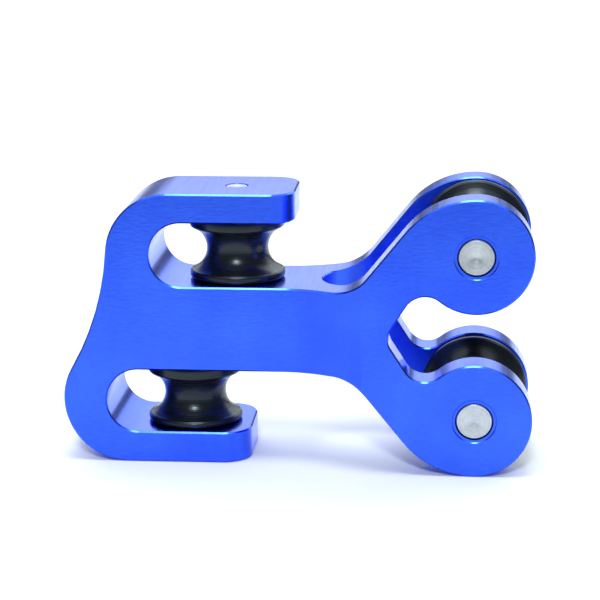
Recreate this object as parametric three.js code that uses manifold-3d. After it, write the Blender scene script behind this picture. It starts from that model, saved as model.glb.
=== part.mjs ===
// Roller cable slide for a guard rod: one milled block, four grooved rollers on steel pins.
// The fork end (+X) straddles a 9.5 mm rod that runs along Z and bears on two cross rollers.
// The cable end (-X) holds two cables that run along Y, each against its own upright roller.
// Units are millimetres, +Z is up. Inside the drawing frame, X = 0 and Z = 0 lie midway between
// the two rod pins; the finished group is lifted so that Z = 0 is the surface it stands on.

import * as THREE from 'three';
import { mergeVertices } from 'three/addons/utils/BufferGeometryUtils.js';
import Module from 'manifold-3d';

const wasm = await Module();
wasm.setup();

// ---- Driving dimensions -------------------------------------------------------------------

// Plan view (X along the slide, Y across it)
const FORK_WIDTH = 19.0;
const CABLE_END_WIDTH = 12.4;
const CHANNEL_WIDTH = 11.0;
const CHANNEL_END_X = -17.3;
const RAMP_START_X = -21.5;
const RAMP_RADIUS = 10;
const RAMP_ANGLE = THREE.MathUtils.degToRad(26);
const FLANGE_CORNER_RADIUS = 3.2;

// Side view (X along the slide, Z up)
const ROD_PIN_Z = 9.2;
const ARM_END_RADIUS = 6.35;
const ARM_BACK_RADIUS = 10;
const ARM_SLOPE = THREE.MathUtils.degToRad(51);
const ARM_ROOT_RADIUS = 5;
const CROTCH_LOBE_RADIUS = 2.5;
const CROTCH_LOBE_X = -5.5;
const CROTCH_TIP_RADIUS = 2;
const CROTCH_TIP_X = -7.55;
const WEB_HALF_HEIGHT = 4.8;
const CABLE_SLOT_HEIGHT = 7.2;
const FLANGE_TOP_Z = 15.3;
const NOSE_RADIUS = 7;
const NOSE_X = -34.2;
const HEEL_RADIUS = 7.25;
const HEEL_X = -39.05;
const BACK_HOLLOW_RADIUS = 31;
const EDGE_RADIUS = 0.4;

// Cable stations: roller axis, distance back to the slot end and forward to the flange end
const UPPER_CABLE_X = -27.0;
const LOWER_CABLE_X = -32.1;
const SLOT_END_OFFSET = 9.3;
const FLANGE_END_OFFSET = 6.85;

// Pins, bushes, washers
const ROD_PIN_RADIUS = 2.0;
const CABLE_PIN_RADIUS = 1.25;
const PIN_CHAMFER = 0.2;
const PIN_RECESS = 0.08;
const CABLE_PIN_BLIND_DEPTH = 4.0;
const PRESS_GAP = 0.03;
const RUNNING_GAP = 0.05;
const COUNTERSINK = 0.3;
const WASHER_THICKNESS = 0.2;
const END_GAP = 0.1;

// Rollers
const CABLE_ROLLER = {
  rimRadius: 5.4, rootRadius: 3.38, rimWidth: 1.1, rimRound: 0.3,
  bushRadius: 2.0, washerRadius: 2.6, pinRadius: CABLE_PIN_RADIUS, space: CABLE_SLOT_HEIGHT,
};
const ROD_ROLLER = {
  rimRadius: 6.1, rootRadius: 3.4, rimWidth: 1.0, rimRound: 0.3,
  bushRadius: 2.6, washerRadius: 4.0, pinRadius: ROD_PIN_RADIUS, space: CHANNEL_WIDTH,
};

// Facets
const ARC_STEP = THREE.MathUtils.degToRad(9);
const ROUND_SEGMENTS = 36;
const GROOVE_STEPS = 8;

// ---- Derived sizes ------------------------------------------------------------------------

const ARM_TOP_Z = ROD_PIN_Z + ARM_END_RADIUS;
const FLANGE_BOTTOM_Z = -ARM_TOP_Z;
const SLOT_RADIUS = CABLE_SLOT_HEIGHT / 2;
const SLOT_MID_Z = WEB_HALF_HEIGHT + SLOT_RADIUS;
const SLOT_OUTER_Z = WEB_HALF_HEIGHT + CABLE_SLOT_HEIGHT;
const HEEL_LEFT_X = HEEL_X - HEEL_RADIUS;
const CENTRE_X = (HEEL_LEFT_X + ARM_END_RADIUS) / 2;
const OVERSIZE = 60;

// ---- Materials ----------------------------------------------------------------------------

const anodised = new THREE.MeshStandardMaterial({ color: 0x1f4bf0, roughness: 0.32, metalness: 0.9 });
const acetal = new THREE.MeshStandardMaterial({ color: 0x14161c, roughness: 0.42, metalness: 0 });
const steel = new THREE.MeshStandardMaterial({ color: 0xc8c6be, roughness: 0.3, metalness: 1 });
const bronze = new THREE.MeshStandardMaterial({ color: 0xb08a4a, roughness: 0.45, metalness: 1 });
const polymer = new THREE.MeshStandardMaterial({ color: 0xe8e8e2, roughness: 0.5, metalness: 0 });

// ---- Outline helper -----------------------------------------------------------------------

// A rounded outline is a counter-clockwise list of circles joined by tangent lines.
// Each circle is { x, y, r }: r > 0 bulges out, r < 0 hollows in, r = 0 is a sharp corner.
function tangentAngle(a, b) {
  const along = Math.atan2(b.y - a.y, b.x - a.x);
  const span = Math.hypot(b.x - a.x, b.y - a.y);
  const shift = b.r - a.r;
  return along - Math.asin(THREE.MathUtils.clamp(shift / span, -1, 1));
}

function turnBetween(from, to, radius) {
  const full = 2 * Math.PI;
  const turn = (((to - from) % full) + full) % full;
  const tiny = 1e-6;
  if (radius < 0) return turn > full - tiny || turn < tiny ? 0 : turn - full;
  return turn > full - tiny ? 0 : turn;
}

function roundedOutline(circles) {
  const points = [];
  circles.forEach((circle, i) => {
    const before = circles[(i + circles.length - 1) % circles.length];
    const after = circles[(i + 1) % circles.length];
    const start = tangentAngle(before, circle);
    const turn = turnBetween(start, tangentAngle(circle, after), circle.r);
    const steps = circle.r === 0 ? 0 : Math.ceil(Math.abs(turn) / ARC_STEP);
    for (let k = 0; k <= steps; k += 1) {
      const angle = start + (steps ? (turn * k) / steps : 0);
      points.push(new THREE.Vector2(
        circle.x + circle.r * Math.sin(angle),
        circle.y - circle.r * Math.cos(angle),
      ));
    }
  });
  return points.filter((p, i) => p.distanceTo(points[(i + 1) % points.length]) > 1e-3);
}

// Centre of the circle of the given radius that touches two circles from outside, on their left.
function touchingCentre(a, b, radius) {
  const reachA = a.r + radius;
  const reachB = b.r + radius;
  const span = Math.hypot(b.x - a.x, b.y - a.y);
  const along = (reachA ** 2 - reachB ** 2 + span ** 2) / (2 * span);
  const aside = Math.sqrt(reachA ** 2 - along ** 2);
  const ux = (b.x - a.x) / span;
  const uy = (b.y - a.y) / span;
  return { x: a.x + along * ux + aside * uy, y: a.y + along * uy - aside * ux };
}

// ---- Body outlines ------------------------------------------------------------------------

// Back of an arm on its outer side: the hollow where it leaves the web, then the long back arc.
function armBack(side) {
  const backCentre = side * (ARM_TOP_Z - ARM_BACK_RADIUS);
  const normal = new THREE.Vector2(-Math.sin(ARM_SLOPE), Math.cos(ARM_SLOPE));
  const hollowZ = WEB_HALF_HEIGHT + ARM_ROOT_RADIUS;
  const reach = ARM_BACK_RADIUS + ARM_ROOT_RADIUS;
  const hollowX = (reach - normal.y * (hollowZ - Math.abs(backCentre))) / normal.x;
  return [
    { x: hollowX, y: side * hollowZ, r: -ARM_ROOT_RADIUS },
    { x: 0, y: backCentre, r: ARM_BACK_RADIUS },
  ];
}

// Fork gap between the two arms: a lobe beside each arm end and a rounded tip between them.
function crotch() {
  const reach = ARM_END_RADIUS + CROTCH_LOBE_RADIUS;
  const lobeZ = ROD_PIN_Z - Math.sqrt(reach ** 2 - CROTCH_LOBE_X ** 2);
  return [
    { x: CROTCH_LOBE_X, y: -lobeZ, r: -CROTCH_LOBE_RADIUS },
    { x: CROTCH_TIP_X, y: 0, r: -CROTCH_TIP_RADIUS },
    { x: CROTCH_LOBE_X, y: lobeZ, r: -CROTCH_LOBE_RADIUS },
  ];
}

function backHollow() {
  const nose = { x: NOSE_X, y: FLANGE_TOP_Z - NOSE_RADIUS, r: NOSE_RADIUS };
  const heel = { x: HEEL_X, y: FLANGE_BOTTOM_Z + HEEL_RADIUS, r: HEEL_RADIUS };
  const hollow = { ...touchingCentre(nose, heel, BACK_HOLLOW_RADIUS), r: -BACK_HOLLOW_RADIUS };
  return [nose, hollow, heel];
}

function sideOutline() {
  const upperEnd = UPPER_CABLE_X + FLANGE_END_OFFSET;
  const lowerEnd = LOWER_CABLE_X + FLANGE_END_OFFSET;
  const e = EDGE_RADIUS;
  return roundedOutline([
    { x: lowerEnd - e, y: FLANGE_BOTTOM_Z + e, r: e },
    { x: lowerEnd - e, y: -SLOT_OUTER_Z - e, r: e },
    { x: LOWER_CABLE_X - SLOT_END_OFFSET + SLOT_RADIUS, y: -SLOT_MID_Z, r: -SLOT_RADIUS },
    ...armBack(-1),
    { x: 0, y: -ROD_PIN_Z, r: ARM_END_RADIUS },
    ...crotch(),
    { x: 0, y: ROD_PIN_Z, r: ARM_END_RADIUS },
    ...armBack(1).reverse(),
    { x: UPPER_CABLE_X - SLOT_END_OFFSET + SLOT_RADIUS, y: SLOT_MID_Z, r: -SLOT_RADIUS },
    { x: upperEnd - e, y: SLOT_OUTER_Z + e, r: e },
    { x: upperEnd - e, y: FLANGE_TOP_Z - e, r: e },
    ...backHollow(),
  ]);
}

// Half of the plan outline, in front of the middle: thin end, hollow, straight ramp, fork cheek.
function planOutline() {
  const thin = CABLE_END_WIDTH / 2;
  const fork = FORK_WIDTH / 2;
  const right = ARM_END_RADIUS + 1;
  const left = HEEL_LEFT_X - 1;
  const half = [new THREE.Vector2(left, -thin)];
  const steps = Math.ceil(RAMP_ANGLE / (ARC_STEP / 2));
  for (let k = 0; k <= steps; k += 1) {
    const angle = (RAMP_ANGLE * k) / steps;
    half.push(new THREE.Vector2(
      RAMP_START_X + RAMP_RADIUS * Math.sin(angle),
      -thin - RAMP_RADIUS * (1 - Math.cos(angle)),
    ));
  }
  const last = half[half.length - 1];
  half.push(new THREE.Vector2(last.x + (fork + last.y) / Math.tan(RAMP_ANGLE), -fork));
  half.push(new THREE.Vector2(right, -fork));
  const mirrored = half.map((p) => new THREE.Vector2(p.x, -p.y)).reverse();
  return [...half, ...mirrored];
}

// ---- Solids -------------------------------------------------------------------------------

function toSolid(geometry) {
  const bare = geometry.clone();
  bare.deleteAttribute('normal');
  bare.deleteAttribute('uv');
  const merged = mergeVertices(bare, 1e-5);
  return new wasm.Manifold(new wasm.Mesh({
    numProp: 3,
    vertProperties: new Float32Array(merged.attributes.position.array),
    triVerts: new Uint32Array(merged.index.array),
  }));
}

function toGeometry(solid) {
  const mesh = solid.getMesh();
  const geometry = new THREE.BufferGeometry();
  geometry.setAttribute('position', new THREE.BufferAttribute(mesh.vertProperties, 3));
  geometry.setIndex(new THREE.BufferAttribute(mesh.triVerts, 1));
  return geometry;
}

function extrude(points, depth) {
  const shape = new THREE.Shape(points);
  const geometry = new THREE.ExtrudeGeometry(shape, { depth, bevelEnabled: false });
  return geometry.translate(0, 0, -depth / 2);
}

// Turned solid: a closed loop of { r, h } around the Y axis.
function turned(loop) {
  const points = loop.map(([r, h]) => new THREE.Vector2(r, h));
  return new THREE.LatheGeometry([...points, points[0]], ROUND_SEGMENTS);
}

// Solid round bar on the Y axis with the same chamfer at both ends.
function chamferedBar(radius, length, chamfer) {
  const h = length / 2;
  return new THREE.LatheGeometry([
    new THREE.Vector2(0, -h),
    new THREE.Vector2(radius - chamfer, -h),
    new THREE.Vector2(radius, -h + chamfer),
    new THREE.Vector2(radius, h - chamfer),
    new THREE.Vector2(radius - chamfer, h),
    new THREE.Vector2(0, h),
  ], ROUND_SEGMENTS);
}

// Tool for a pin hole on the Y axis: a bore that flares where it leaves the material.
function boreTool(radius, from, to, flareFrom, flareTo) {
  const extra = 1;
  const low = flareFrom ? [[radius + COUNTERSINK + extra, from - extra], [radius, from + COUNTERSINK]]
    : [[radius, from]];
  const high = flareTo ? [[radius, to - COUNTERSINK], [radius + COUNTERSINK + extra, to + extra]]
    : [[radius, to]];
  const loop = [...low, ...high].map(([r, h]) => new THREE.Vector2(r, h));
  const first = new THREE.Vector2(0, loop[0].y);
  const last = new THREE.Vector2(0, loop[loop.length - 1].y);
  return new THREE.LatheGeometry([first, ...loop, last], ROUND_SEGMENTS);
}

// Rounds one upright corner of a flange: the square corner less its quarter circle.
function cornerTool(endX, side, lowZ, highZ) {
  const r = FLANGE_CORNER_RADIUS;
  const face = (side * CABLE_END_WIDTH) / 2;
  const points = [];
  const steps = Math.ceil(Math.PI / 2 / ARC_STEP);
  for (let k = 0; k <= steps; k += 1) {
    const angle = (Math.PI / 2) * (k / steps);
    points.push(new THREE.Vector2(
      endX - r + r * Math.sin(angle),
      face - side * r * (1 - Math.cos(angle)),
    ));
  }
  points.push(new THREE.Vector2(endX + 1, face - side * r));
  points.push(new THREE.Vector2(endX + 1, face + side));
  points.push(new THREE.Vector2(endX - r, face + side));
  const outline = side < 0 ? points.reverse() : points;
  return extrude(outline.reverse(), highZ - lowZ).translate(0, 0, (lowZ + highZ) / 2);
}

function channelTool() {
  const half = CHANNEL_WIDTH / 2;
  const right = ARM_END_RADIUS + 2;
  return extrude(roundedOutline([
    { x: CHANNEL_END_X + half, y: 0, r: half },
    { x: right, y: -half, r: 0 },
    { x: right, y: half, r: 0 },
  ]), OVERSIZE);
}

function buildBody() {
  const side = toSolid(extrude(sideOutline(), OVERSIZE).rotateX(Math.PI / 2));
  const plan = toSolid(extrude(planOutline(), OVERSIZE));
  let body = side.intersect(plan).subtract(toSolid(channelTool()));

  const upperEnd = UPPER_CABLE_X + FLANGE_END_OFFSET;
  const lowerEnd = LOWER_CABLE_X + FLANGE_END_OFFSET;
  for (const across of [-1, 1]) {
    const upperCorner = cornerTool(upperEnd, across, SLOT_OUTER_Z - 1, FLANGE_TOP_Z + 1);
    const lowerCorner = cornerTool(lowerEnd, across, FLANGE_BOTTOM_Z - 1, -SLOT_OUTER_Z + 1);
    body = body.subtract(toSolid(upperCorner)).subtract(toSolid(lowerCorner));
    const rodBore = boreTool(ROD_PIN_RADIUS + PRESS_GAP, -FORK_WIDTH / 2, FORK_WIDTH / 2, true, true);
    body = body.subtract(toSolid(rodBore.translate(0, 0, across * ROD_PIN_Z)));
  }

  const blindZ = WEB_HALF_HEIGHT - CABLE_PIN_BLIND_DEPTH;
  const cableRadius = CABLE_PIN_RADIUS + PRESS_GAP;
  const upperBore = boreTool(cableRadius, blindZ, FLANGE_TOP_Z, false, true).rotateX(Math.PI / 2);
  const lowerBore = boreTool(cableRadius, FLANGE_BOTTOM_Z, -blindZ, true, false).rotateX(Math.PI / 2);
  body = body.subtract(toSolid(upperBore.translate(UPPER_CABLE_X, 0, 0)));
  body = body.subtract(toSolid(lowerBore.translate(LOWER_CABLE_X, 0, 0)));
  return toGeometry(body);
}

// ---- Turned pieces ------------------------------------------------------------------------

// Grooved roller on the Y axis: rounded rims, a hollow arc between them, a recess at each end
// for the thrust washer and a bore for the bush.
function rollerGeometry(spec) {
  const half = spec.space / 2 - END_GAP;
  const recess = WASHER_THICKNESS + 2 * RUNNING_GAP - END_GAP;
  const bore = spec.bushRadius + PRESS_GAP;
  const recessRadius = spec.washerRadius + 2 * RUNNING_GAP;
  const grooveHalf = half - spec.rimWidth;
  const depth = spec.rimRadius - spec.rootRadius;
  const grooveRadius = (grooveHalf ** 2 + depth ** 2) / (2 * depth);
  const grooveSweep = Math.asin(grooveHalf / grooveRadius);
  const c = spec.rimRound;
  const loop = [
    [bore, -half + recess], [recessRadius, -half + recess], [recessRadius, -half],
    [spec.rimRadius - c, -half], [spec.rimRadius, -half + c],
  ];
  for (let k = 0; k <= GROOVE_STEPS; k += 1) {
    const angle = -grooveSweep + (2 * grooveSweep * k) / GROOVE_STEPS;
    const r = spec.rootRadius + grooveRadius * (1 - Math.cos(angle));
    loop.push([r, grooveRadius * Math.sin(angle)]);
  }
  loop.push([spec.rimRadius, half - c], [spec.rimRadius - c, half]);
  loop.push([recessRadius, half], [recessRadius, half - recess], [bore, half - recess]);
  return turned(loop);
}

function bushGeometry(spec) {
  const recess = WASHER_THICKNESS + 2 * RUNNING_GAP - END_GAP;
  const half = spec.space / 2 - END_GAP - recess;
  const inner = spec.pinRadius + RUNNING_GAP;
  return turned([[inner, -half], [spec.bushRadius, -half], [spec.bushRadius, half], [inner, half]]);
}

function washerGeometry(spec) {
  const half = WASHER_THICKNESS / 2;
  const inner = spec.pinRadius + RUNNING_GAP;
  return turned([[inner, -half], [spec.washerRadius, -half], [spec.washerRadius, half], [inner, half]]);
}

// ---- Assembly -----------------------------------------------------------------------------

const part = new THREE.Group();
part.position.set(-CENTRE_X, 0, ARM_TOP_Z);

function addMesh(parent, name, geometry, material, along = 0) {
  const mesh = new THREE.Mesh(geometry, material);
  mesh.name = name;
  mesh.position.y = along;
  parent.add(mesh);
}

// One roller with its bush and its two washers, on an axis that is the group's own Y axis.
function addRollerSet(group, name, spec, ends) {
  addMesh(group, `${name}_roller`, rollerGeometry(spec), acetal);
  addMesh(group, `${name}_bush`, bushGeometry(spec), bronze);
  const washerAt = spec.space / 2 - RUNNING_GAP - WASHER_THICKNESS / 2;
  addMesh(group, `${name}_washer_${ends[0]}`, washerGeometry(spec), polymer, -washerAt);
  addMesh(group, `${name}_washer_${ends[1]}`, washerGeometry(spec), polymer, washerAt);
}

addMesh(part, 'milled_body', buildBody(), anodised);

// Rod rollers: the pin crosses the whole fork, its ends just below the cheek faces.
for (const [name, side] of [['upper_rod', 1], ['lower_rod', -1]]) {
  const station = new THREE.Group();
  station.position.set(0, 0, side * ROD_PIN_Z);
  addRollerSet(station, name, ROD_ROLLER, ['front', 'back']);
  const length = FORK_WIDTH - 2 * PIN_RECESS;
  addMesh(station, `${name}_pin`, chamferedBar(ROD_PIN_RADIUS, length, PIN_CHAMFER), steel);
  part.add(station);
}

// Cable rollers: the pin goes through the flange and ends in a blind hole in the web.
const CABLE_STATIONS = [
  ['upper_cable', 1, UPPER_CABLE_X, FLANGE_TOP_Z],
  ['lower_cable', -1, LOWER_CABLE_X, -FLANGE_BOTTOM_Z],
];
for (const [name, side, axisX, flangeFace] of CABLE_STATIONS) {
  const station = new THREE.Group();
  station.position.set(axisX, 0, side * SLOT_MID_Z);
  station.rotation.x = (side * Math.PI) / 2;
  addRollerSet(station, name, CABLE_ROLLER, ['inner', 'outer']);
  const outerEnd = flangeFace - PIN_RECESS - SLOT_MID_Z;
  const innerEnd = SLOT_RADIUS + CABLE_PIN_BLIND_DEPTH - PIN_RECESS;
  const pin = chamferedBar(CABLE_PIN_RADIUS, outerEnd + innerEnd, PIN_CHAMFER);
  addMesh(station, `${name}_pin`, pin, steel, (outerEnd - innerEnd) / 2);
  part.add(station);
}

export default part;
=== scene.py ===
"""Looks of the roller cable slide: one milled and anodised block, four turned rollers on steel pins.

Lengths are millimetres in the drawing frame: X = 0 and Z = 0 lie midway between the two rod pins,
Y = 0 is the mirror plane, +X points to the open end of the fork and +Z is up.
"""
import math

import bmesh
import bpy
from mathutils import Matrix, Vector


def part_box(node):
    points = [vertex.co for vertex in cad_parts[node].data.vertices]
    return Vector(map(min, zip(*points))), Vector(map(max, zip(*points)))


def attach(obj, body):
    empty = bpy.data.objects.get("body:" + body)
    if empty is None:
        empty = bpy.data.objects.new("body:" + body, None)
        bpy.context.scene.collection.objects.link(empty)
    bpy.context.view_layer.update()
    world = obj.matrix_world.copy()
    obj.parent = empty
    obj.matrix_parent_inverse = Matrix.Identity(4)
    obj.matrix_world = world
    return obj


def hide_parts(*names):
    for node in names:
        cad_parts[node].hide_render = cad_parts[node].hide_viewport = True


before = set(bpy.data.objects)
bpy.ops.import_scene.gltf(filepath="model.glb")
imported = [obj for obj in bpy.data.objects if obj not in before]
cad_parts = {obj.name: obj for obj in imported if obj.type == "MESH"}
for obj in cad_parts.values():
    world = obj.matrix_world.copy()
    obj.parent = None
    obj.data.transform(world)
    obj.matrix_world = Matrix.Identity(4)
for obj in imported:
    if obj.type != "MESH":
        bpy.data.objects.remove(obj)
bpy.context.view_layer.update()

MM = 0.001

# ---- Body sizes -------------------------------------------------------------------------------

FORK_HALF = 9.5
THIN_HALF = 6.2
CHANNEL_HALF = 5.5
CHANNEL_END_X = -17.3
RAMP_START_X = -21.5
RAMP_RADIUS = 10.0
RAMP_ANGLE = math.radians(26)
FLANGE_CORNER = 3.2

ROD_PIN_Z = 9.2
ARM_END_RADIUS = 6.35
ARM_BACK_RADIUS = 10.0
ARM_SLOPE = math.radians(51)
ARM_ROOT_RADIUS = 5.0
LOBE_RADIUS = 2.5
LOBE_X = -5.5
TIP_RADIUS = 2.0
TIP_X = -7.55
WEB_HALF = 4.8
SLOT_HEIGHT = 7.2
FLANGE_TOP_Z = 15.3
NOSE_RADIUS = 7.0
NOSE_X = -34.2
HEEL_RADIUS = 7.25
HEEL_X = -39.05
BACK_HOLLOW_RADIUS = 31.0
UPPER_CABLE_X = -27.0
LOWER_CABLE_X = -32.1
SLOT_END_OFFSET = 9.3
FLANGE_END_OFFSET = 6.85

FACE_CHAMFER = 0.17
CHANNEL_CHAMFER = 0.14
ROD_BORE = 2.12
CABLE_BORE = 1.3
SPOT_FACE_WIDTH = 0.26
SPOT_FACE_SLOPE = 0.11
SPOT_FACE_DEPTH = 0.12
CABLE_BREAK = 0.03
BLIND_DEPTH = 4.0

OVERCUT = 1.0
CHANNEL_TOOL_REACH = 3.0
CHANNEL_TOOL_HALF = 25.0

ARC_STEP = math.radians(5)
NO_TURN = 1e-6
RAMP_STEPS = 8
CORNER_STEPS = 14
CHANNEL_STEPS = 36
BORE_SEGMENTS = 72
SHARP_ANGLE = math.radians(18)
FLAT_FACE_WEIGHT = 100
MERGE_DISTANCE = 1e-4
ON_WALL = 2e-3

ARM_TOP_Z = ROD_PIN_Z + ARM_END_RADIUS
FLANGE_BOTTOM_Z = -ARM_TOP_Z
SLOT_RADIUS = SLOT_HEIGHT / 2
SLOT_MID_Z = WEB_HALF + SLOT_RADIUS
SLOT_OUTER_Z = WEB_HALF + SLOT_HEIGHT
CHANNEL_CENTRE_X = CHANNEL_END_X + CHANNEL_HALF


def drawing_origin():
    """The drawing frame's origin in the part's frame, from the two rod pins."""
    low_a, high_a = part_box("upper_rod_pin")
    low_b, high_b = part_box("lower_rod_pin")
    return (low_a + high_a + low_b + high_b) / 4


ORIGIN = drawing_origin()


# ---- Mesh helpers -----------------------------------------------------------------------------

def finish_mesh(bm, name):
    """Turns a bmesh in drawing millimetres into an object in the part's frame."""
    bmesh.ops.recalc_face_normals(bm, faces=bm.faces)
    bm.transform(Matrix.Translation(ORIGIN) @ Matrix.Scale(MM, 4))
    mesh = bpy.data.meshes.new(name)
    bm.to_mesh(mesh)
    bm.free()
    piece = bpy.data.objects.new(name, mesh)
    bpy.context.scene.collection.objects.link(piece)
    return piece


def shade(piece):
    """Smooth shading between hard edges, with the large flat faces kept truly flat."""
    bm = bmesh.new()
    bm.from_mesh(piece.data)
    for face in bm.faces:
        face.smooth = True
    for edge in bm.edges:
        edge.smooth = edge.calc_face_angle(math.pi) < SHARP_ANGLE
    bm.to_mesh(piece.data)
    bm.free()
    weighted = piece.modifiers.new("weighted", "WEIGHTED_NORMAL")
    weighted.keep_sharp = True
    weighted.weight = FLAT_FACE_WEIGHT
    apply_modifiers(piece)


def apply_modifiers(piece):
    """Replaces the piece's mesh by what its modifiers make of it."""
    graph = bpy.context.evaluated_depsgraph_get()
    graph.update()
    mesh = bpy.data.meshes.new_from_object(piece.evaluated_get(graph))
    piece.modifiers.clear()
    old = piece.data
    piece.data = mesh
    bpy.data.meshes.remove(old)
    mesh.name = piece.name


def cut(piece, tool):
    """Takes the tool out of the piece."""
    boolean = piece.modifiers.new("cut", "BOOLEAN")
    boolean.operation = "DIFFERENCE"
    boolean.solver = "EXACT"
    boolean.object = tool
    apply_modifiers(piece)
    bpy.data.objects.remove(tool)


def add_rings(bm, profile, segments):
    """One ring of vertices for each (radius, height), or a single vertex on the axis."""
    rings = []
    for radius, height in profile:
        count = segments if radius > 0 else 1
        ring = []
        for k in range(count):
            angle = 2 * math.pi * k / segments
            ring.append(bm.verts.new((radius * math.cos(angle), radius * math.sin(angle), height)))
        rings.append(ring)
    return rings


def add_band(bm, lower, upper, segments):
    """Faces between two rings. A ring of one vertex gives triangles."""
    for k in range(segments):
        m = (k + 1) % segments
        corners = [
            lower[k % len(lower)], lower[m % len(lower)],
            upper[m % len(upper)], upper[k % len(upper)],
        ]
        bm.faces.new(list(dict.fromkeys(corners)))


def lathe(name, profile, centre, axis, segments):
    """Turned solid whose own Z is its axis. The profile is (radius, height) from one end of the
    axis to the other, or a closed loop where it never meets the axis."""
    bm = bmesh.new()
    rings = add_rings(bm, profile, segments)
    pairs = list(zip(rings, rings[1:]))
    if profile[0][0] > 0:
        pairs.append((rings[-1], rings[0]))
    for lower, upper in pairs:
        add_band(bm, lower, upper, segments)
    bmesh.ops.recalc_face_normals(bm, faces=bm.faces)
    bm.transform(Matrix.Scale(MM, 4))
    mesh = bpy.data.meshes.new(name)
    bm.to_mesh(mesh)
    bm.free()
    piece = bpy.data.objects.new(name, mesh)
    bpy.context.scene.collection.objects.link(piece)
    turn = Vector((0, 0, 1)).rotation_difference(Vector(axis)).to_matrix().to_4x4()
    piece.matrix_world = Matrix.Translation(ORIGIN + Vector(centre) * MM) @ turn
    return piece


# ---- Body outline -----------------------------------------------------------------------------

def tangent_angle(a, b):
    """Travel direction of the line that touches circle a and then circle b (x, z, radius)."""
    along = math.atan2(b[1] - a[1], b[0] - a[0])
    span = math.hypot(b[0] - a[0], b[1] - a[1])
    return along - math.asin(max(-1.0, min(1.0, (b[2] - a[2]) / span)))


def turn_between(start, end, radius):
    """How far the line turns round a circle: leftward for a bulge, rightward for a hollow."""
    turn = (end - start) % (2 * math.pi)
    if min(turn, 2 * math.pi - turn) < NO_TURN:
        return 0.0
    return turn - 2 * math.pi if radius < 0 else turn


def chain(circles):
    """Open line that rounds each circle in turn. Gives (x, z, outward normal x, outward normal z)."""
    points = []
    for i, (x, z, radius) in enumerate(circles):
        after = tangent_angle(circles[i], circles[i + 1]) if i + 1 < len(circles) else None
        before = tangent_angle(circles[i - 1], circles[i]) if i > 0 else after
        turn = 0.0 if after is None else turn_between(before, after, radius)
        steps = 0 if radius == 0 else math.ceil(abs(turn) / ARC_STEP)
        for k in range(steps + 1):
            angle = before + (turn * k / steps if steps else 0.0)
            normal = (math.sin(angle), -math.cos(angle))
            points.append((x + radius * normal[0], z + radius * normal[1], *normal))
    return points


def touching_centre(a, b, radius):
    """Centre of the circle that touches circles a and b from outside, right of the way a to b."""
    reach_a = a[2] + radius
    reach_b = b[2] + radius
    span = math.hypot(b[0] - a[0], b[1] - a[1])
    along = (reach_a ** 2 - reach_b ** 2 + span ** 2) / (2 * span)
    aside = math.sqrt(reach_a ** 2 - along ** 2)
    ux = (b[0] - a[0]) / span
    uz = (b[1] - a[1]) / span
    return a[0] + along * ux + aside * uz, a[1] + along * uz - aside * ux


def arm_back(side):
    """The hollow where an arm leaves the web, then the long arc of its back."""
    centre_z = ARM_TOP_Z - ARM_BACK_RADIUS
    hollow_z = WEB_HALF + ARM_ROOT_RADIUS
    reach = ARM_BACK_RADIUS + ARM_ROOT_RADIUS
    hollow_x = -(reach - math.cos(ARM_SLOPE) * (hollow_z - centre_z)) / math.sin(ARM_SLOPE)
    return [(hollow_x, side * hollow_z, -ARM_ROOT_RADIUS), (0.0, side * centre_z, ARM_BACK_RADIUS)]


def crotch():
    """The gap between the arms: a lobe beside each arm end and a rounded tip between them."""
    reach = ARM_END_RADIUS + LOBE_RADIUS
    lobe_z = ROD_PIN_Z - math.sqrt(reach ** 2 - LOBE_X ** 2)
    return [(LOBE_X, -lobe_z, -LOBE_RADIUS), (TIP_X, 0.0, -TIP_RADIUS), (LOBE_X, lobe_z, -LOBE_RADIUS)]


def corner_x(cable_x):
    """Where a flange starts to round off in plan."""
    return cable_x + FLANGE_END_OFFSET - FLANGE_CORNER


def fork_side_chain():
    """From the lower flange's inner face, round the slots and the fork, to the upper flange's."""
    slot_x = -SLOT_END_OFFSET + SLOT_RADIUS
    return chain([
        (corner_x(LOWER_CABLE_X), -SLOT_OUTER_Z, 0.0),
        (LOWER_CABLE_X + slot_x, -SLOT_MID_Z, -SLOT_RADIUS),
        *arm_back(-1),
        (0.0, -ROD_PIN_Z, ARM_END_RADIUS),
        *crotch(),
        (0.0, ROD_PIN_Z, ARM_END_RADIUS),
        *reversed(arm_back(1)),
        (UPPER_CABLE_X + slot_x, SLOT_MID_Z, -SLOT_RADIUS),
        (corner_x(UPPER_CABLE_X), SLOT_OUTER_Z, 0.0),
    ])


def back_side_chain():
    """From the upper flange's top, over the nose, the hollow back and the heel, to the underside."""
    nose = (NOSE_X, FLANGE_TOP_Z - NOSE_RADIUS, NOSE_RADIUS)
    heel = (HEEL_X, FLANGE_BOTTOM_Z + HEEL_RADIUS, HEEL_RADIUS)
    hollow = (*touching_centre(nose, heel, BACK_HOLLOW_RADIUS), -BACK_HOLLOW_RADIUS)
    return chain([
        (corner_x(UPPER_CABLE_X), FLANGE_TOP_Z, 0.0),
        nose, hollow, heel,
        (corner_x(LOWER_CABLE_X), FLANGE_BOTTOM_Z, 0.0),
    ])


# ---- Body solid -------------------------------------------------------------------------------

def half_width(x):
    """Half the body's width at x: thin cable end, concave start of the ramp, ramp, fork."""
    run = x - RAMP_START_X
    arc_run = RAMP_RADIUS * math.sin(RAMP_ANGLE)
    if run <= 0:
        return THIN_HALF
    if run <= arc_run:
        return THIN_HALF + RAMP_RADIUS - math.sqrt(RAMP_RADIUS ** 2 - run ** 2)
    arc_rise = RAMP_RADIUS * (1 - math.cos(RAMP_ANGLE))
    return min(FORK_HALF, THIN_HALF + arc_rise + (run - arc_run) * math.tan(RAMP_ANGLE))


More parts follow.
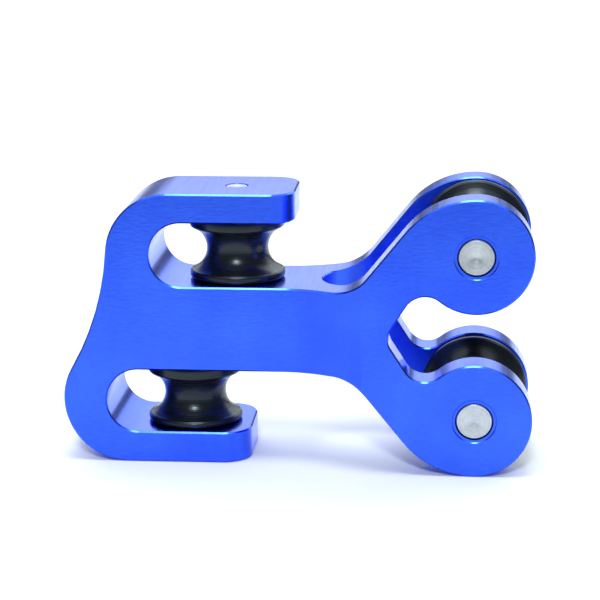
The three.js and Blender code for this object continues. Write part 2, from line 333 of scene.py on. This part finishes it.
def ramp_stations():
    """Places along X where the ramp's facets meet."""
    stations = []
    for k in range(RAMP_STEPS + 1):
        stations.append(RAMP_START_X + RAMP_RADIUS * math.sin(RAMP_ANGLE * k / RAMP_STEPS))
    arc_rise = RAMP_RADIUS * (1 - math.cos(RAMP_ANGLE))
    stations.append(stations[-1] + (FORK_HALF - THIN_HALF - arc_rise) / math.tan(RAMP_ANGLE))
    return stations


def add_rows(bm, points):
    """Four vertices for each outline point: front face, front rim, back rim, back face.
    Y holds 1 on a face and 0.5 on a rim until the ramp gives it its real size."""
    rows = []
    for x, z, nx, nz in points:
        inner = (x - FACE_CHAMFER * nx, z - FACE_CHAMFER * nz)
        rows.append([
            bm.verts.new((inner[0], -1, inner[1])),
            bm.verts.new((x, -0.5, z)),
            bm.verts.new((x, 0.5, z)),
            bm.verts.new((inner[0], 1, inner[1])),
        ])
    return rows


def add_strips(bm, rows):
    """Faces that join each row of vertices to the next."""
    for a, b in zip(rows, rows[1:]):
        for k in range(len(a) - 1):
            bm.faces.new((a[k], a[k + 1], b[k + 1], b[k]))


def give_width(bm):
    """Gives every vertex its real Y, with the ramp and the two face chamfers."""
    for vert in bm.verts:
        share = (1 - abs(vert.co.y)) / 0.5
        y = half_width(vert.co.x) - FACE_CHAMFER * share
        vert.co.y = math.copysign(y, vert.co.y)


def flange_path(x0):
    """Plan line round a flange's end, from front to back: (x, y, outward normal x, normal y)."""
    centre_y = THIN_HALF - FLANGE_CORNER
    path = []
    for side in (-1, 1):
        for k in range(CORNER_STEPS + 1):
            step = k if side < 0 else CORNER_STEPS - k
            angle = math.radians(90) * step / CORNER_STEPS
            normal = (math.sin(angle), side * math.cos(angle))
            x = x0 + FLANGE_CORNER * normal[0]
            y = side * centre_y + FLANGE_CORNER * normal[1]
            path.append((x, y, *normal))
    return path


def add_flange_end(bm, cable_x, outer_z, inner_z, outer_row, inner_row):
    """Closes a flange with its rounded, chamfered end. The rows are the outline's last ones."""
    lean = math.copysign(FACE_CHAMFER, outer_z - inner_z)
    rows = []
    for x, y, nx, ny in flange_path(corner_x(cable_x)):
        inner = (x - FACE_CHAMFER * nx, y - FACE_CHAMFER * ny)
        rows.append([
            bm.verts.new((*inner, outer_z)),
            bm.verts.new((x, y, outer_z - lean)),
            bm.verts.new((x, y, inner_z + lean)),
            bm.verts.new((*inner, inner_z)),
        ])
    rows[0] = [outer_row[1], outer_row[0], inner_row[0], inner_row[1]]
    rows[-1] = [outer_row[2], outer_row[3], inner_row[3], inner_row[2]]
    add_strips(bm, rows)
    bm.faces.new([row[0] for row in rows])
    bm.faces.new([row[3] for row in rows])


def body_solid():
    """The block with its ramps, slots and rounded flange ends, before the channel and the bores."""
    bm = bmesh.new()
    fork_rows = add_rows(bm, fork_side_chain())
    back_rows = add_rows(bm, back_side_chain())
    add_strips(bm, fork_rows)
    add_strips(bm, back_rows)
    loop = fork_rows + back_rows
    bm.faces.new([row[0] for row in loop])
    bm.faces.new([row[3] for row in loop])
    for x in ramp_stations():
        everything = bm.verts[:] + bm.edges[:] + bm.faces[:]
        bmesh.ops.bisect_plane(
            bm, geom=everything, plane_co=(x, 0, 0), plane_no=(1, 0, 0), dist=MERGE_DISTANCE,
        )
    give_width(bm)
    add_flange_end(bm, UPPER_CABLE_X, FLANGE_TOP_Z, SLOT_OUTER_Z, back_rows[0], fork_rows[-1])
    add_flange_end(bm, LOWER_CABLE_X, FLANGE_BOTTOM_Z, -SLOT_OUTER_Z, back_rows[-1], fork_rows[0])
    bmesh.ops.remove_doubles(bm, verts=bm.verts, dist=MERGE_DISTANCE)
    return finish_mesh(bm, "body_shell")


def channel_tool():
    """Tall U-shaped prism: the rod's channel between the cheeks."""
    outline = []
    for k in range(CHANNEL_STEPS + 1):
        angle = math.pi / 2 + math.pi * k / CHANNEL_STEPS
        x = CHANNEL_CENTRE_X + CHANNEL_HALF * math.cos(angle)
        outline.append((x, CHANNEL_HALF * math.sin(angle)))
    outline.append((ARM_END_RADIUS + CHANNEL_TOOL_REACH, -CHANNEL_HALF))
    outline.append((ARM_END_RADIUS + CHANNEL_TOOL_REACH, CHANNEL_HALF))
    bm = bmesh.new()
    low = [bm.verts.new((x, y, -CHANNEL_TOOL_HALF)) for x, y in outline]
    high = [bm.verts.new((x, y, CHANNEL_TOOL_HALF)) for x, y in outline]
    bm.faces.new(low)
    bm.faces.new(high)
    for k in range(len(outline)):
        m = (k + 1) % len(outline)
        bm.faces.new((low[k], low[m], high[m], high[k]))
    return finish_mesh(bm, "channel_tool")


def off_channel(point):
    """How far a point of the drawing frame lies from the channel's wall."""
    if point.x >= CHANNEL_CENTRE_X:
        return abs(abs(point.y) - CHANNEL_HALF)
    return abs(math.hypot(point.x - CHANNEL_CENTRE_X, point.y) - CHANNEL_HALF)


def on_channel(face):
    return all(off_channel(vert.co) < ON_WALL for vert in face.verts)


def is_rim(edge, walls):
    """True where one side of the edge is the channel's wall and the other is not."""
    return len(edge.link_faces) == 2 and len(walls.intersection(edge.link_faces)) == 1


def chamfer_channel(piece):
    """Breaks the edges where the channel leaves the block."""
    bm = bmesh.new()
    bm.from_mesh(piece.data)
    bm.transform(Matrix.Scale(1 / MM, 4) @ Matrix.Translation(-ORIGIN))
    walls = {face for face in bm.faces if on_channel(face)}
    rim = [edge for edge in bm.edges if is_rim(edge, walls)]
    bmesh.ops.bevel(
        bm, geom=rim, offset=CHANNEL_CHAMFER, offset_type="OFFSET", segments=1, profile=0.5,
        affect="EDGES", clamp_overlap=False, loop_slide=True,
    )
    bm.transform(Matrix.Translation(ORIGIN) @ Matrix.Scale(MM, 4))
    bm.to_mesh(piece.data)
    bm.free()


def spot_faced_bore(radius, half):
    """Half section of a bore tool with a shallow flat ring cut round each mouth."""
    floor = half - SPOT_FACE_DEPTH
    ring = radius + SPOT_FACE_WIDTH
    brim = ring + SPOT_FACE_SLOPE
    mouth = [(radius, floor), (ring, floor), (brim, half), (brim, half + OVERCUT)]
    profile = [(r, -h) for r, h in reversed(mouth)] + mouth
    return [(0, -half - OVERCUT), *profile, (0, half + OVERCUT)]


def blind_bore(radius, floor, mouth):
    """Half section of a plain bore tool with its mouth edge just broken."""
    return [
        (0, floor), (radius, floor), (radius, mouth - CABLE_BREAK),
        (radius + CABLE_BREAK + OVERCUT, mouth + OVERCUT), (0, mouth + OVERCUT),
    ]


def cut_bores(piece):
    """Two bores through the fork and a blind one down each flange."""
    profile = spot_faced_bore(ROD_BORE, FORK_HALF)
    for side in (-1, 1):
        cut(piece, lathe("rod_bore_tool", profile, (0, 0, side * ROD_PIN_Z), (0, 1, 0), BORE_SEGMENTS))
    floor = WEB_HALF - BLIND_DEPTH
    for cable_x, side, flange_z in (
        (UPPER_CABLE_X, 1, FLANGE_TOP_Z),
        (LOWER_CABLE_X, -1, -FLANGE_BOTTOM_Z),
    ):
        profile = blind_bore(CABLE_BORE, floor, flange_z)
        cut(piece, lathe("cable_bore_tool", profile, (cable_x, 0, 0), (0, 0, side), BORE_SEGMENTS))


def build_body():
    """The finished block."""
    body = body_solid()
    cut(body, channel_tool())
    chamfer_channel(body)
    cut_bores(body)
    shade(body)
    return body


# ---- Turned pieces ----------------------------------------------------------------------------

TURNED_SEGMENTS = 120
PIN_CHAMFER = 0.11
PIN_SINK = 0.05
CENTRE_DIMPLE = 0.16
DIMPLE_DEPTH = 0.05
RIM_WIDTH = 1.0
RIM_ROUND = 0.35
RIM_STEPS = 8
GROOVE_STEPS = 40
GROOVE_LIP = 0.22
LIP_SWEEP = 60
LIP_STEPS = 4
BUSH_SEAT_GAP = 0.03
WASHER_SEAT_GAP = 0.1
PIN_GAP = 0.05
BUSH_EDGE = 0.05
WASHER_EDGE = 0.04
EDGE_STEPS = 3
STATIONS = {
    "upper_rod": {"axis": (0, 1, 0), "groove_offset": 0.0},
    "lower_rod": {"axis": (0, 1, 0), "groove_offset": 0.0},
    "upper_cable": {"axis": (0, 0, 1), "groove_offset": -0.12},
    "lower_cable": {"axis": (0, 0, -1), "groove_offset": 0.30},
}
RADII = {
    "rod": {"rim": 6.1, "root": 3.4, "bush": 2.6, "washer": 4.0, "pin": 2.0},
    "cable": {"rim": 5.4, "root": 3.5, "bush": 2.0, "washer": 2.6, "pin": 1.25},
}


def node_centre(node):
    """Middle of a CAD node in drawing millimetres."""
    low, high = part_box(node)
    return ((low + high) / 2 - ORIGIN) / MM


def half_length(node, axis):
    """Half a CAD node's length along its axis, in millimetres."""
    low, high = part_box(node)
    return abs((high - low).dot(Vector(axis))) / 2 / MM


def arc(centre_r, centre_h, radius, start, end, steps):
    """Points of a round stretch in a turned profile, angles in degrees from the outward radius."""
    points = []
    for k in range(steps + 1):
        angle = math.radians(start + (end - start) * k / steps)
        points.append((centre_r + radius * math.cos(angle), centre_h + radius * math.sin(angle)))
    return points


def roller_profile(radii, half, offset, recess):
    """Closed half section: bore, washer recess, rounded rim, hollow groove, and back again."""
    groove_half = half - RIM_WIDTH
    depth = radii["rim"] - radii["root"]
    groove_radius = (groove_half ** 2 + depth ** 2) / (2 * depth)
    sweep = math.degrees(math.asin(groove_half / groove_radius) - GROOVE_LIP / groove_radius)
    middle = radii["root"] + groove_radius
    bore = radii["bush"] + BUSH_SEAT_GAP
    seat = radii["washer"] + WASHER_SEAT_GAP
    crown = radii["rim"] - RIM_ROUND
    lip = radii["rim"] - GROOVE_LIP
    lip_half = groove_half + GROOVE_LIP
    loop = [(bore, -half + recess), (seat, -half + recess), (seat, -half)]
    loop += arc(crown, -half + RIM_ROUND, RIM_ROUND, -90, 0, RIM_STEPS)
    loop += arc(lip, offset - lip_half, GROOVE_LIP, 0, LIP_SWEEP, LIP_STEPS)
    loop += arc(middle, offset, groove_radius, 180 + sweep, 180 - sweep, GROOVE_STEPS)
    loop += arc(lip, offset + lip_half, GROOVE_LIP, -LIP_SWEEP, 0, LIP_STEPS)
    loop += arc(crown, half - RIM_ROUND, RIM_ROUND, 0, 90, RIM_STEPS)
    loop += [(seat, half), (seat, half - recess), (bore, half - recess)]
    return loop


def ring_profile(inner, outer, half, edge):
    """Closed half section of a plain ring with a small round on its outer edges."""
    loop = [(inner, -half), (outer - edge, -half)]
    loop += arc(outer - edge, -half + edge, edge, -90, 0, EDGE_STEPS)[1:]
    loop += arc(outer - edge, half - edge, edge, 0, 90, EDGE_STEPS)
    loop += [(inner, half)]
    return loop


def pin_profile(radius, half):
    """Round bar with a chamfer and a shallow turning mark in the middle of each end."""
    face = [
        (0, -half + DIMPLE_DEPTH), (CENTRE_DIMPLE, -half),
        (radius - PIN_CHAMFER, -half), (radius, -half + PIN_CHAMFER),
    ]
    return face + [(r, -h) for r, h in reversed(face)]


def turned_piece(node, profile, axis, body, material):
    """Turns the profile in place of a CAD node, on the body that carries the node."""
    piece = lathe(node + "_turned", profile, node_centre(node), axis, TURNED_SEGMENTS)
    shade(piece)
    piece.data.materials.append(material)
    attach(piece, body)
    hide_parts(node)


def add_station(name, spec, looks):
    """One roller with its bush, two washers and pin."""
    axis = spec["axis"]
    radii = RADII[name.split("_")[1]]
    spinning = name + "_roller_body"
    half = half_length(name + "_roller", axis)
    recess = half - half_length(name + "_bush", axis)
    profile = roller_profile(radii, half, spec["groove_offset"], recess)
    turned_piece(name + "_roller", profile, axis, spinning, looks["acetal"])
    pin_clear = radii["pin"] + PIN_GAP
    profile = ring_profile(pin_clear, radii["bush"], half - recess, BUSH_EDGE)
    turned_piece(name + "_bush", profile, axis, spinning, looks["bronze"])
    ends = ("front", "back") if "rod" in name else ("inner", "outer")
    for end in ends:
        washer = f"{name}_washer_{end}"
        profile = ring_profile(pin_clear, radii["washer"], half_length(washer, axis), WASHER_EDGE)
        turned_piece(washer, profile, axis, "slide_body", looks["polymer"])
    sink = PIN_SINK if "rod" in name else 0.0
    profile = pin_profile(radii["pin"], half_length(name + "_pin", axis) - sink)
    turned_piece(name + "_pin", profile, axis, "slide_body", looks["steel"])


# ---- Materials --------------------------------------------------------------------------------

NOISE_DETAIL = 3.0
NOISE_LOW = 0.3
NOISE_HIGH = 0.7

ANODISED_TONES = ((0.028, 0.093, 0.90), (0.048, 0.155, 1.0))
ANODISED_SHEEN = (0.98, 1.0, 1.0, 1.0)
FLAT_FROM = 0.8
FLAT_TO = 0.95
CORNER_FROM = 0.10
CORNER_TO = 0.35
CORNER_DULLING = 0.14
GRAIN_STRETCH = (0.8, 1.0, 2.2)
GRAIN_SCALE = 1.5
GRAIN_DEPTH = 0.022
FACE_ROUGHNESS = (0.28, 0.38)
CUTTER_STRETCH = (1.3, 0.045, 1.3)
CUTTER_SCALE = 2.0
CUTTER_DEPTH = 0.003
WALL_ROUGHNESS = (0.15, 0.23)
CLOUD_SCALE = 0.12
MARKS_LOW = 0.25
MARKS_HIGH = 0.75
MARKS_SHARE = 0.45

ACETAL_TONES = ((0.004, 0.005, 0.009), (0.007, 0.009, 0.014))
ACETAL_SHEEN = (0.80, 0.93, 1.0, 1.0)
ACETAL_ROUGHNESS = (0.22, 0.32)
ACETAL_RING_SCALE = 4.5
ACETAL_RING_DEPTH = 0.012
ACETAL_MOTTLE_SCALE = 0.8

STEEL_TONES = ((0.41, 0.435, 0.465), (0.63, 0.66, 0.69))
STEEL_ROUGHNESS = (0.26, 0.40)
STEEL_RING_SCALE = 5.5
STEEL_RING_SHARE = 0.6
STEEL_RING_DEPTH = 0.010
STEEL_MOTTLE_SCALE = 1.6

BRONZE_TONES = ((0.42, 0.26, 0.12), (0.58, 0.39, 0.20))
BRONZE_ROUGHNESS = (0.38, 0.55)
BRONZE_GRAIN_SCALE = 6.0
BRONZE_GRAIN_DEPTH = 0.012

WASHER_TONES = ((0.55, 0.55, 0.51), (0.66, 0.66, 0.62))
WASHER_ROUGHNESS = (0.42, 0.55)
WASHER_GRAIN_SCALE = 3.0
WASHER_GRAIN_DEPTH = 0.006


class Surface:
    """A material under construction: its node tree, its shader and short calls to add nodes."""

    def __init__(self, name, **shader):
        self.material = bpy.data.materials.new(name)
        self.material.use_nodes = True
        self.tree = self.material.node_tree
        self.shader = self.tree.nodes["Principled BSDF"]
        for socket, value in shader.items():
            self.shader.inputs[socket.replace("_", " ")].default_value = value

    def add(self, kind, settings=None, **sockets):
        """New node. A socket goes by its name, or by its place as i0, i1 and so on, and takes a
        number, a vector or another node's output."""
        node = self.tree.nodes.new("ShaderNode" + kind)
        for key, value in (settings or {}).items():
            setattr(node, key, value)
        for key, value in sockets.items():
            by_place = key[0] == "i" and key[1:].isdigit()
            socket = node.inputs[int(key[1:]) if by_place else key]
            if isinstance(value, bpy.types.NodeSocket):
                self.tree.links.new(value, socket)
            else:
                socket.default_value = value
        return node

    def math(self, operation, a, b=0.0):
        return self.add("Math", {"operation": operation}, i0=a, i1=b).outputs[0]

    def place(self):
        """Object coordinates in millimetres."""
        where = self.add("TexCoord").outputs["Object"]
        return self.add("VectorMath", {"operation": "SCALE"}, i0=where, Scale=1 / MM).outputs[0]

    def noise(self, vector, scale, roughness=0.5):
        """Noise of about 0 to 1 whose features repeat scale times in a millimetre."""
        made = self.add(
            "TexNoise", Vector=vector, Scale=scale, Detail=NOISE_DETAIL, Roughness=roughness,
        )
        return made.outputs["Fac"]

    def stretch(self, vector, x, y, z):
        return self.add("VectorMath", {"operation": "MULTIPLY"}, i0=vector, i1=(x, y, z)).outputs[0]

    def remap(self, value, low, high, to_low, to_high):
        made = self.add("MapRange", Value=value, i1=low, i2=high, i3=to_low, i4=to_high)
        return made.outputs[0]

    def widen(self, noise, low=0.0, high=1.0):
        """Spreads the middle of a noise, where nearly all of it lies, from low to high."""
        return self.remap(noise, NOISE_LOW, NOISE_HIGH, low, high)

    def blend(self, factor, a, b):
        """Between two numbers or outputs."""
        made = self.add("Mix", {"data_type": "FLOAT"}, Factor=factor, i2=a, i3=b)
        return made.outputs[0]

    def tint(self, factor, dark, light):
        """Colour between two tones, into the shader."""
        made = self.add("Mix", {"data_type": "RGBA"}, Factor=factor, i6=(*dark, 1), i7=(*light, 1))
        self.tree.links.new(made.outputs[2], self.shader.inputs["Base Color"])

    def gloss(self, value):
        self.tree.links.new(value, self.shader.inputs["Roughness"])

    def relief(self, heights):
        """Bumps of (height output, depth in millimetres), one on top of the other."""
        normal = None
        for height, depth in heights:
            bump = self.add("Bump", Height=height, Strength=1.0, Distance=depth * MM)
            if normal is not None:
                self.tree.links.new(normal, bump.inputs["Normal"])
            normal = bump.outputs[0]
        self.tree.links.new(normal, self.shader.inputs["Normal"])


def anodised():
    """Dyed and sealed aluminium: fine grain along X on the flat faces, cutter lines across the
    walls, and a duller finish where the surface turns in plan."""
    look = Surface(
        "blue_anodise", Metallic=1.0, Specular_Tint=ANODISED_SHEEN,
        Coat_Weight=0.12, Coat_Roughness=0.12, Coat_IOR=1.6,
    )
    place = look.place()
    facing = look.add("TexCoord").outputs["Normal"]
    parts = look.add("SeparateXYZ", Vector=facing).outputs
    across = look.math("ABSOLUTE", parts["Y"])
    corner = look.math("MULTIPLY", across, look.math("ABSOLUTE", parts["X"]))
    flat = look.remap(across, FLAT_FROM, FLAT_TO, 0.0, 1.0)
    wall = look.math("SUBTRACT", 1.0, flat)
    grain = look.noise(look.stretch(place, *GRAIN_STRETCH), GRAIN_SCALE, roughness=0.6)
    cutter = look.noise(look.stretch(place, *CUTTER_STRETCH), CUTTER_SCALE, roughness=0.55)
    cloud = look.noise(place, CLOUD_SCALE)
    marks = look.remap(look.blend(flat, cutter, grain), MARKS_LOW, MARKS_HIGH, 0.0, 1.0)
    look.tint(look.blend(MARKS_SHARE, look.widen(cloud), marks), *ANODISED_TONES)
    walls_rough = look.widen(cutter, *WALL_ROUGHNESS)
    faces_rough = look.widen(grain, *FACE_ROUGHNESS)
    dulling = look.remap(corner, CORNER_FROM, CORNER_TO, 0.0, CORNER_DULLING)
    look.gloss(look.math("ADD", look.blend(flat, walls_rough, faces_rough), dulling))
    look.relief([
        (look.math("MULTIPLY", cutter, wall), CUTTER_DEPTH),
        (look.math("MULTIPLY", grain, flat), GRAIN_DEPTH),
    ])
    return look.material


def turned_coordinates(look):
    """(distance from the axis, 0, height along it): the same all the way round."""
    parts = look.add("SeparateXYZ", Vector=look.place())
    x = parts.outputs["X"]
    y = parts.outputs["Y"]
    squares = look.math("ADD", look.math("MULTIPLY", x, x), look.math("MULTIPLY", y, y))
    radius = look.math("SQRT", squares)
    return look.add("CombineXYZ", X=radius, Y=0.0, Z=parts.outputs["Z"]).outputs[0]


def acetal():
    """Black turned plastic, satin, with faint tool rings."""
    look = Surface(
        "black_acetal", IOR=1.48, Specular_IOR_Level=0.46, Specular_Tint=ACETAL_SHEEN,
    )
    rings = look.noise(turned_coordinates(look), ACETAL_RING_SCALE, roughness=0.65)
    mottle = look.noise(look.place(), ACETAL_MOTTLE_SCALE)
    look.tint(look.widen(mottle), *ACETAL_TONES)
    look.gloss(look.widen(rings, *ACETAL_ROUGHNESS))
    look.relief([(rings, ACETAL_RING_DEPTH)])
    return look.material


def steel():
    """Turned steel: fine concentric tool rings on the ends."""
    look = Surface("turned_steel", Metallic=1.0, Anisotropic=0.5, Anisotropic_Rotation=0.25)
    tangent = look.add("Tangent", {"direction_type": "RADIAL", "axis": "Z"})
    look.tree.links.new(tangent.outputs[0], look.shader.inputs["Tangent"])
    rings = look.noise(turned_coordinates(look), STEEL_RING_SCALE, roughness=0.7)
    mottle = look.noise(look.place(), STEEL_MOTTLE_SCALE)
    tone = look.blend(STEEL_RING_SHARE, look.widen(mottle), look.widen(rings))
    look.tint(tone, *STEEL_TONES)
    look.gloss(look.widen(rings, *STEEL_ROUGHNESS))
    look.relief([(rings, STEEL_RING_DEPTH)])
    return look.material


def grained(look, scale, depth, tones, roughness):
    """Even fine grain in a material's colour, gloss and relief."""
    grain = look.noise(look.place(), scale, roughness=0.6)
    look.tint(look.widen(grain), *tones)
    look.gloss(look.widen(grain, *roughness))
    look.relief([(grain, depth)])
    return look.material


def bronze():
    """Sintered bronze, dull and slightly grainy."""
    look = Surface("sintered_bronze", Metallic=1.0)
    return grained(look, BRONZE_GRAIN_SCALE, BRONZE_GRAIN_DEPTH, BRONZE_TONES, BRONZE_ROUGHNESS)


def polymer():
    """Thin pale washer sheet."""
    look = Surface("washer_sheet", IOR=1.45)
    return grained(look, WASHER_GRAIN_SCALE, WASHER_GRAIN_DEPTH, WASHER_TONES, WASHER_ROUGHNESS)


# ---- Studio -----------------------------------------------------------------------------------

CAMERA_AIM = (-19.928, 0.0, 2.091)
CAMERA_DISTANCE = 227.28
CAMERA_ELEVATION = math.radians(13.143)
CAMERA_YAW = math.radians(-4.678)
CAMERA_ROLL = math.radians(-0.293)
CAMERA_LENS = 119.55
SENSOR_WIDTH = 36.0
CLIP_START = 10.0

TABLE_HALF = 1500.0
# Table tones: the dark one is painted shade far in front of the part, standing in for light falling
# off there; the light one is the paper's own white.
TABLE_PAINTED_SHADE_AND_WHITE = ((0.34, 0.345, 0.35), (0.92, 0.925, 0.93))
TABLE_ROUGHNESS = (0.8, 0.9)
FIBRE_SCALE = 0.5
FIBRE_SHARE = 0.05
FIBRE_LOW = 0.01
FIBRE_HIGH = 0.04
# Where the painted shade on the table starts and where it is full, along Y in front of the part.
PAINTED_SHADE_START = -55.0
PAINTED_SHADE_END = -160.0
LIGHT_TINT = (0.90, 0.97, 1.0)
ROOM_LEVEL = 0.16
WALL_LEVEL = 1.42
WALL_SIDE_START = 0.25
WALL_SIDE_END = 0.7
WALL_LOW_START = 0.13
WALL_LOW_END = 0.172

SOFTBOXES = {
    "ceiling_box": {"azimuth": 180, "elevation": 70, "distance": 1300, "size": 2400, "power": 24.3},
    "key_box": {"azimuth": 0, "elevation": 80, "distance": 640, "size": 220, "power": 1.55},
    "front_box": {"azimuth": 0, "elevation": 36, "distance": 600, "size": 70, "power": 1.7},
}


def add_camera():
    """Long lens, slightly above the part and slightly to its right."""
    reach = math.cos(CAMERA_ELEVATION)
    drop = math.sin(CAMERA_ELEVATION)
    forward = Vector((math.sin(CAMERA_YAW) * reach, math.cos(CAMERA_YAW) * reach, -drop))
    level = Vector((math.cos(CAMERA_YAW), -math.sin(CAMERA_YAW), 0))
    upright = level.cross(forward)
    right = math.cos(CAMERA_ROLL) * level + math.sin(CAMERA_ROLL) * upright
    up = math.cos(CAMERA_ROLL) * upright - math.sin(CAMERA_ROLL) * level
    place = ORIGIN + Vector(CAMERA_AIM) * MM - forward * CAMERA_DISTANCE * MM
    data = bpy.data.cameras.new("camera")
    data.lens = CAMERA_LENS
    data.sensor_width = SENSOR_WIDTH
    data.clip_start = CLIP_START * MM
    camera = bpy.data.objects.new("camera", data)
    bpy.context.scene.collection.objects.link(camera)
    basis = Matrix((right, up, -forward)).transposed().to_4x4()
    camera.matrix_world = Matrix.Translation(place) @ basis
    bpy.context.scene.camera = camera


def add_softbox(name, azimuth, elevation, distance, size, power):
    """Square area light aimed at the part. Azimuth 0 is in front, positive to the right."""
    data = bpy.data.lights.new(name, "AREA")
    data.shape = "SQUARE"
    data.size = size * MM
    data.energy = power
    data.color = LIGHT_TINT
    lamp = bpy.data.objects.new(name, data)
    bpy.context.scene.collection.objects.link(lamp)
    az = math.radians(azimuth)
    el = math.radians(elevation)
    toward = Vector((math.sin(az) * math.cos(el), -math.cos(az) * math.cos(el), math.sin(el)))
    lamp.location = ORIGIN + Vector(CAMERA_AIM) * MM + toward * distance * MM
    lamp.rotation_euler = toward.to_track_quat("Z", "Y").to_euler()


def add_floor():
    """Broad matt table under the part: white, with painted shade darkening it far in front, standing
    in for light falling off there.
    """
    half = TABLE_HALF * MM
    bm = bmesh.new()
    corners = [(-half, -half), (half, -half), (half, half), (-half, half)]
    bm.faces.new([bm.verts.new((x, y, 0)) for x, y in corners])
    mesh = bpy.data.meshes.new("table")
    bm.to_mesh(mesh)
    bm.free()
    table = bpy.data.objects.new("table", mesh)
    bpy.context.scene.collection.objects.link(table)
    look = Surface("table_paper_painted_shade", Specular_IOR_Level=0.1)
    place = look.place()
    depth = look.add("SeparateXYZ", Vector=place).outputs["Y"]
    fibre = look.math("MULTIPLY", look.noise(place, FIBRE_SCALE), FIBRE_SHARE)
    # Painted shade: the table's colour darkens far in front of the part, standing in for light falling
    # off away from the lamps.
    painted_falloff = look.remap(depth, PAINTED_SHADE_END, PAINTED_SHADE_START, 0.0, 1.0 - FIBRE_SHARE)
    look.tint(look.math("ADD", painted_falloff, fibre), *TABLE_PAINTED_SHADE_AND_WHITE)
    look.gloss(look.remap(fibre, FIBRE_LOW, FIBRE_HIGH, *TABLE_ROUGHNESS))
    table.data.materials.append(look.material)


def add_step(tree, value, low, high):
    """Node that rises smoothly from 0 at low to 1 at high."""
    step = tree.nodes.new("ShaderNodeMapRange")
    step.interpolation_type = "SMOOTHSTEP"
    step.inputs["From Min"].default_value = low
    step.inputs["From Max"].default_value = high
    tree.links.new(value, step.inputs["Value"])
    return step.outputs[0]


def add_world():
    """Dim room with a pale wall behind the part, starting a little above the table's far edge."""
    world = bpy.data.worlds.new("room")
    world.use_nodes = True
    tree = world.node_tree
    background = tree.nodes["Background"]
    direction = tree.nodes.new("ShaderNodeTexCoord")
    split = tree.nodes.new("ShaderNodeSeparateXYZ")
    tree.links.new(direction.outputs["Generated"], split.inputs[0])
    both = tree.nodes.new("ShaderNodeMath")
    both.operation = "MULTIPLY"
    side = add_step(tree, split.outputs["Y"], WALL_SIDE_START, WALL_SIDE_END)
    height = add_step(tree, split.outputs["Z"], WALL_LOW_START, WALL_LOW_END)
    tree.links.new(side, both.inputs[0])
    tree.links.new(height, both.inputs[1])
    level = tree.nodes.new("ShaderNodeMapRange")
    level.inputs["To Min"].default_value = ROOM_LEVEL
    level.inputs["To Max"].default_value = WALL_LEVEL
    tree.links.new(both.outputs[0], level.inputs["Value"])
    tree.links.new(level.outputs[0], background.inputs["Strength"])
    background.inputs["Color"].default_value = (*LIGHT_TINT, 1)
    bpy.context.scene.world = world


def add_studio():
    """Room, table and three lights."""
    add_world()
    add_floor()
    for name, spec in SOFTBOXES.items():
        add_softbox(name, **spec)
    bpy.context.scene.view_settings.view_transform = "Standard"


# ---- Scene ------------------------------------------------------------------------------------

def main():
    add_camera()
    looks = {"acetal": acetal(), "steel": steel(), "bronze": bronze(), "polymer": polymer()}
    body = build_body()
    body.data.materials.append(anodised())
    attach(body, "slide_body")
    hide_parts("milled_body")
    for name, spec in STATIONS.items():
        add_station(name, spec, looks)
    add_studio()


main()
